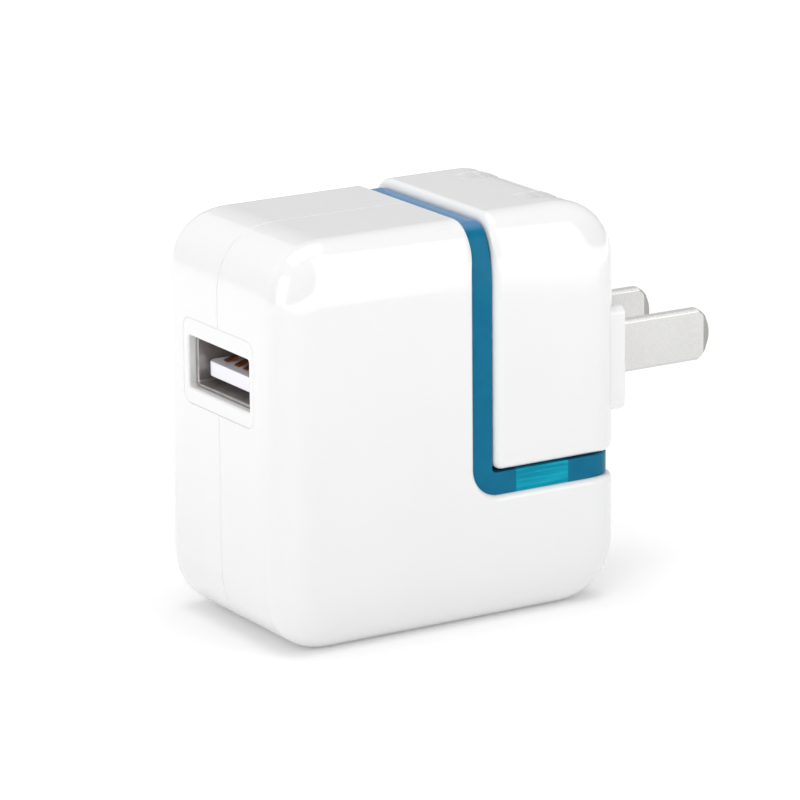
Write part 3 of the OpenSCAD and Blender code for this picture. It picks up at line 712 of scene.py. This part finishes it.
def drawn_steel():
    """Dull drawn sheet with faint lines along the way it was drawn."""
    f = Finish("drawn_steel", Metallic=0.85)
    lines = f.noise(0.25, 3, (14, 1, 1))
    patches = f.noise(1.6, 3)
    return f.feed(Base_Color=f.colour(patches, (0.27, 0.245, 0.23), (0.58, 0.555, 0.54)),
                  Roughness=lines * 0.18 + 0.28,
                  Normal=f.relief(lines, 0.004))


def tongue_plastic():
    """Pale plastic with a cool tint and a fine, slightly dull surface."""
    f = Finish("tongue_plastic", IOR=1.5, Coat_Weight=0.2, Coat_Roughness=0.1)
    return f.feed(Base_Color=f.colour(f.noise(1.5, 3), (0.86, 0.855, 0.93), (0.91, 0.905, 0.96)),
                  Roughness=f.noise(0.3, 2) * 0.1 + 0.3,
                  Normal=f.relief(f.noise(0.2, 2), 0.002))


def metal(name, low, high, roughness, size, stretch=(1, 1, 1)):
    """A metal whose colour, roughness and surface all follow one fine grain."""
    f = Finish(name, Metallic=1)
    grain = f.noise(size, 3, stretch)
    wide = f.noise(size * 9, 2)
    return f.feed(Base_Color=f.colour(grain * 0.6 + wide * 0.4, low, high),
                  Roughness=grain * 0.12 + roughness,
                  Normal=f.relief(grain, 0.003))


def blade_metal():
    """Satin nickel with a fine speckle, a painted highlight along the top edge, where the long edges are
    broken, and painted shade at the tip.
    """
    f = Finish("blade_metal", Metallic=0.9)
    speckle = f.noise(0.22, 5)
    wide = f.noise(4, 2)
    # painted highlight: a band along the top edge is painted near white, and is also made a little smoother
    painted_edge_highlight = f.between(f.along("Z"), BLADE_TOP - 0.42, BLADE_TOP - 0.3)
    # painted shade: the tip's bevels are painted darker
    tip = f.between(f.along("X"), BLADE_TIP - 1.1, BLADE_TIP - 0.95)
    satin = f.colour(speckle * 0.7 + wide * 0.3, (0.48, 0.477, 0.468), (0.72, 0.717, 0.708))
    bright = f.colour(painted_edge_highlight, satin, (0.95, 0.945, 0.93))
    return f.feed(Base_Color=f.colour(tip, bright, (0.36, 0.355, 0.345)),
                  Roughness=speckle * 0.2 + 0.3 - painted_edge_highlight * 0.1,
                  Normal=f.relief(speckle, 0.006))


def plastic(name, low, high, roughness, size, depth, coat=0.0):
    """A moulded plastic with a slight texture and a trace of unevenness in its colour."""
    f = Finish(name, IOR=1.48, Coat_Weight=coat, Coat_Roughness=0.1)
    grain = f.noise(size, 3)
    wide = f.noise(size * 14, 2)
    return f.feed(Base_Color=f.colour(wide, low, high),
                  Roughness=grain * 0.12 + roughness,
                  Normal=f.relief(grain, depth))


def board_green():
    """Solder mask over the glass weave, with copper tracks showing through as a lighter green."""
    f = Finish("board_green", IOR=1.5, Coat_Weight=0.3, Coat_Roughness=0.15)
    place = f.point((0.5, 0.5, 0.5))
    tracks = f.node("TexBrick", {"offset": 0.5}, {"Vector": place, "Scale": 1, "Mortar Size": 0.08}, "Fac")
    weave = f.noise(0.3, 2, (4, 4, 1))
    green = f.colour(tracks, (0.012, 0.115, 0.045), (0.03, 0.21, 0.075))
    return f.feed(Base_Color=green,
                  Roughness=weave * 0.15 + 0.3,
                  Normal=f.relief(tracks * 0.7 + weave * 0.3, 0.03))


def winding_tape():
    """Yellow polyester tape, lapped in turns."""
    f = Finish("winding_tape", IOR=1.55, Coat_Weight=0.4, Coat_Roughness=0.08)
    place = f.point((0.12, 0.12, 0.12))
    laps = f.node("TexWave", {"bands_direction": "Z"}, {"Vector": place, "Distortion": 0.6})
    return f.feed(Base_Color=f.colour(laps, (0.66, 0.42, 0.03), (0.82, 0.58, 0.07)),
                  Roughness=laps * 0.1 + 0.2,
                  Normal=f.relief(laps, 0.03))


def copper_winding():
    """Enamelled wire in close turns."""
    f = Finish("copper_winding", Metallic=0.7, Coat_Weight=0.7, Coat_Roughness=0.1)
    place = f.point((0.8, 0.8, 0.8))
    turns = f.node("TexWave", {"bands_direction": "Y"}, {"Vector": place, "Distortion": 0.2})
    return f.feed(Base_Color=f.colour(turns, (0.28, 0.09, 0.02), (0.62, 0.27, 0.07)),
                  Roughness=turns * 0.1 + 0.25,
                  Normal=f.relief(turns, 0.12))


def capacitor_sleeve(name, low, high):
    """Shrink sleeve with a pale stripe down one side."""
    f = Finish(name, IOR=1.5, Coat_Weight=0.3, Coat_Roughness=0.12)
    ripple = f.noise(1.2, 2)
    stripe = f.between(f.noise(7, 0, (1, 8, 1)), 0.56, 0.58)
    return f.feed(Base_Color=f.colour(stripe, f.colour(ripple, low, high), (0.55, 0.56, 0.6)),
                  Roughness=ripple * 0.12 + 0.25,
                  Normal=f.relief(ripple, 0.03))


FINISHES = {
    "casing_white": white_gloss(),
    "guide_blue": blue_clear(),
    "port_steel": drawn_steel(),
    "tongue_white": tongue_plastic(),
    "contact_copper": metal("contact_copper", (0.50, 0.17, 0.05), (0.80, 0.36, 0.12), 0.28, 0.12),
    "board_green": board_green(),
    "ferrite": plastic("ferrite", (0.028, 0.028, 0.032), (0.05, 0.05, 0.055), 0.62, 0.25, 0.02),
    "tape_yellow": winding_tape(),
    "moulding_black": plastic("moulding_black", (0.016, 0.016, 0.018), (0.03, 0.03, 0.034), 0.5, 0.12, 0.008),
    "capacitor_black": capacitor_sleeve("capacitor_black", (0.01, 0.01, 0.013), (0.025, 0.025, 0.03)),
    "capacitor_violet": capacitor_sleeve("capacitor_violet", (0.03, 0.015, 0.10), (0.06, 0.03, 0.17)),
    "disc_blue": plastic("disc_blue", (0.02, 0.10, 0.34), (0.035, 0.15, 0.44), 0.3, 0.4, 0.03, 0.3),
    "winding_copper": copper_winding(),
    "fuse_ceramic": plastic("fuse_ceramic", (0.56, 0.47, 0.34), (0.68, 0.59, 0.44), 0.55, 0.2, 0.01),
    "led_clear": plastic("led_clear", (0.62, 0.72, 0.82), (0.72, 0.82, 0.9), 0.08, 0.8, 0.002, 0.6),
    "inlet_white": plastic("inlet_white", (0.80, 0.81, 0.81), (0.84, 0.85, 0.85), 0.24, 0.2, 0.003, 0.2),
    "pin_nickel": metal("pin_nickel", (0.60, 0.59, 0.56), (0.78, 0.77, 0.74), 0.16, 0.1, (1, 1, 5)),
    "lead_red": plastic("lead_red", (0.42, 0.02, 0.015), (0.52, 0.035, 0.03), 0.45, 0.3, 0.01),
    "stud_steel": metal("stud_steel", (0.55, 0.55, 0.54), (0.74, 0.74, 0.73), 0.2, 0.1, (6, 1, 1)),
    "cover_white": plastic("cover_white", (0.82, 0.825, 0.825), (0.86, 0.865, 0.865), 0.42, 0.15, 0.008),
    "brass_sleeve": metal("brass_sleeve", (0.55, 0.38, 0.13), (0.76, 0.58, 0.28), 0.22, 0.1, (1, 1, 5)),
    "spring_steel": metal("spring_steel", (0.38, 0.38, 0.37), (0.56, 0.56, 0.55), 0.26, 0.1, (8, 1, 1)),
    "rotor_white": plastic("rotor_white", (0.78, 0.785, 0.785), (0.83, 0.835, 0.835), 0.4, 0.15, 0.006),
    "blade_nickel": blade_metal(),
}


def stands_for(piece, body, slot, *nodes):
    """Gives a piece its finish, and puts it on its body in place of the CAD nodes."""
    piece.data.materials.clear()
    piece.data.materials.append(FINISHES[slot].material)
    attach(piece, body)
    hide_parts(*nodes)


def finish_cad_nodes():
    """Every CAD node that still shows gets its slot's finish."""
    for part in frame["record"]["subparts"]:
        node = frame["nodes"][part["node"]]
        finish = FINISHES[part["material_slot"]].material
        if not node.material_slots:
            node.data.materials.append(finish)
        for slot in node.material_slots:
            slot.material = finish
        weld = node.modifiers.new("weld", "WELD")
        weld.merge_threshold = 0.002 * MM
        bevel = node.modifiers.new("soft_edges", "BEVEL")
        bevel.width = CAD_EDGE * MM
        bevel.segments = 2
        bevel.angle_limit = radians(40)
        bevel.harden_normals = True


# ---------- stage ----------

AIM = Vector((1.08, 0, 24.58)) * MM
AZIMUTH = radians(31.33)
ELEVATION = radians(15.21)
ROLL = radians(-0.55)
DISTANCE = 585.97 * MM
FIELD = 800 / 4968      # the picture's width over the lens's length, both in pixels
LIGHT_DISTANCE = 0.9    # in metres, as the lights' sizes are
WORLD_GLOW = 0.51
FLOOR_HALF = 6          # in metres
FLOOR_GLOW = 0.1        # everywhere
FLOOR_LEFT = 0.3        # glow added, as painted light, in the direction that the port face mirrors
FLOOR_RIGHT = 1.0       # glow added, as painted light, far out in the direction that the near face mirrors
FLOOR_PEAK = 1.5
VIEW_X = 0.515          # about the camera's direction over the floor; the port face
VIEW_Y = 0.857          # mirrors it with X turned round, and the near face with Y


def camera():
    """A long lens that looks down a little, turned to show the port face and the near face."""
    look = Vector((sin(AZIMUTH) * cos(ELEVATION), cos(AZIMUTH) * cos(ELEVATION), -sin(ELEVATION)))
    level = Vector((cos(AZIMUTH), -sin(AZIMUTH), 0))
    upright = level.cross(look)
    right = cos(ROLL) * level + sin(ROLL) * upright
    up = cos(ROLL) * upright - sin(ROLL) * level
    data = bpy.data.cameras.new("camera")
    data.lens = data.sensor_width / FIELD
    data.clip_start = 0.01
    data.clip_end = 20
    view = bpy.data.objects.new("camera", data)
    facing = Matrix((right, up, -look)).transposed().to_4x4()
    view.matrix_world = Matrix.Translation(AIM - DISTANCE * look) @ facing
    bpy.context.scene.collection.objects.link(view)
    bpy.context.scene.camera = view


def floor_paper():
    """White paper that glows, as painted light, more strongly in the two directions that the port face and
    the near face mirror.
    """
    f = Finish("floor_paper", Base_Color=(0.9, 0.9, 0.9, 1), Roughness=0.9, Emission_Strength=FLOOR_PEAK)
    x, y = f.along("X"), f.along("Y")
    # painted light: pools of glow on the paper where the two faces mirror it
    left = f.between(y * VIEW_Y - x * VIEW_X, 40, 140)
    right = f.between(x * VIEW_X - y * VIEW_Y, 172, 186)
    glow = (left * FLOOR_LEFT + right * FLOOR_RIGHT + FLOOR_GLOW) * (1 / FLOOR_PEAK)
    return f.feed(Emission_Color=f.colour(glow, (0, 0, 0), (1, 1, 1)))


def softbox(name, azimuth, elevation, width, height, power):
    """A rectangular studio light that faces the charger; its azimuth is from +X towards +Y."""
    data = bpy.data.lights.new(name, "AREA")
    data.shape = "RECTANGLE"
    data.size = width
    data.size_y = height
    data.energy = power
    light = bpy.data.objects.new(name, data)
    turn_by, rise = radians(azimuth), radians(elevation)
    away = Vector((cos(turn_by) * cos(rise), sin(turn_by) * cos(rise), sin(rise)))
    light.location = AIM + LIGHT_DISTANCE * away
    light.rotation_euler = away.to_track_quat("Z", "Y").to_euler()
    bpy.context.scene.collection.objects.link(light)


def studio():
    """A pale floor, an even backdrop and four softboxes."""
    floor = bpy.data.meshes.new("floor")
    corners = [(i * FLOOR_HALF, j * FLOOR_HALF, 0) for i, j in ((-1, -1), (1, -1), (1, 1), (-1, 1))]
    floor.from_pydata(corners, [], [(0, 1, 2, 3)])
    ground = piece_of("floor", floor)
    floor.materials.append(floor_paper().material)
    world = bpy.data.worlds.new("studio")
    world.use_nodes = True
    backdrop = world.node_tree.nodes["Background"]
    backdrop.inputs["Color"].default_value = (1, 1, 1, 1)
    backdrop.inputs["Strength"].default_value = WORLD_GLOW
    bpy.context.scene.world = world
    softbox("left_box", 208, 22, 0.7, 0.7, 2.4)
    softbox("tall_box", 300, 27, 0.25, 0.96, 1.2)
    softbox("back_box", 115, 24, 1.2, 0.8, 1.0)
    softbox("top_box", 0, 89, 0.8, 0.8, 4.4)
    bpy.context.scene.view_settings.view_transform = "Standard"


# ---------- the charger ----------

camera()
stands_for(casing_half("casing_near", -1), "charger", "casing_white", "near_shell")
stands_for(casing_half("casing_far", 1), "charger", "casing_white", "far_shell")
stands_for(panel_plate(), "charger", "casing_white", "port_panel")
stands_for(guide_strip(), "charger", "guide_blue", "light_guide")
stands_for(port_lining(), "charger", "port_steel", "usb_shell")
stands_for(tongue(), "charger", "tongue_white", "usb_tongue")
stands_for(port_contacts(), "charger", "contact_copper", "usb_contacts")
stands_for(head_moulding(), "plug_head", "casing_white", "head_shell")
stands_for(blade("blade_near_bar", -1), "blades", "blade_nickel", "blade_near")
stands_for(blade("blade_far_bar", 1), "blades", "blade_nickel", "blade_far")
finish_cad_nodes()
studio()
